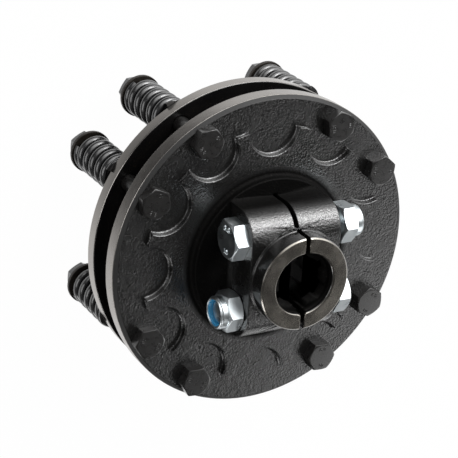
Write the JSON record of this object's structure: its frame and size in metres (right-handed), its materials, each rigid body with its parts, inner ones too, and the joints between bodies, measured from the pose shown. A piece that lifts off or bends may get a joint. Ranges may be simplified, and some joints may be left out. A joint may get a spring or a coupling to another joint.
{
  "type": "torque limiter",
  "caption": "Round friction torque limiter with a split clamp hub on a bolted flange and coil springs that press a plate, linings and a drive hub together.",
  "frame": {"origin": "on the shaft axis, level with the ends of the spring bolts, on which it stands", "axes": "+Z along the shaft axis towards the nose of the clamp hub, +X along the clamp bolts, +Y along the slits"},
  "size_m": [0.196, 0.196, 0.1471],
  "materials": {
    "cast_paint": "semi-gloss black paint on a cast surface",
    "plate_paint": "semi-gloss black paint on a turned plate",
    "black_bolt": "black oxide",
    "black_washer": "oiled black steel",
    "spring_steel": "satin black lacquer",
    "zinc": "bright zinc plating",
    "nylon": "moulded blue nylon",
    "bronze": "turned bronze",
    "hub_steel": "oiled turned steel",
    "lining": "ground friction lining"
  },
  "bodies": {
    "clamp_side": {"flange_hub": "cast_paint", "pressure_plate": "plate_paint", "spring_bolts": "black_bolt", "spring_nuts": "black_bolt", "spring_washers": "black_washer", "spring_1": "spring_steel", "spring_2": "spring_steel", "spring_3": "spring_steel", "spring_4": "spring_steel", "spring_5": "spring_steel", "spring_6": "spring_steel", "spring_7": "spring_steel", "spring_8": "spring_steel", "upper_clamp_bolt": "zinc", "lower_clamp_bolt": "zinc", "upper_lock_nut": "zinc", "lower_lock_nut": "zinc", "upper_nut_ring": "nylon", "lower_nut_ring": "nylon", "pilot_bush": "bronze"},
    "drive_side": {"drive_hub": "hub_steel", "front_lining": "lining", "rear_lining": "lining"}
  },
  "joints": [
    {"name": "slip", "type": "hinge", "parent": "clamp_side", "child": "drive_side", "pos_m": [0, 0, 0.0774], "axis": [0, 0, 1], "continuous": true}
  ]
}
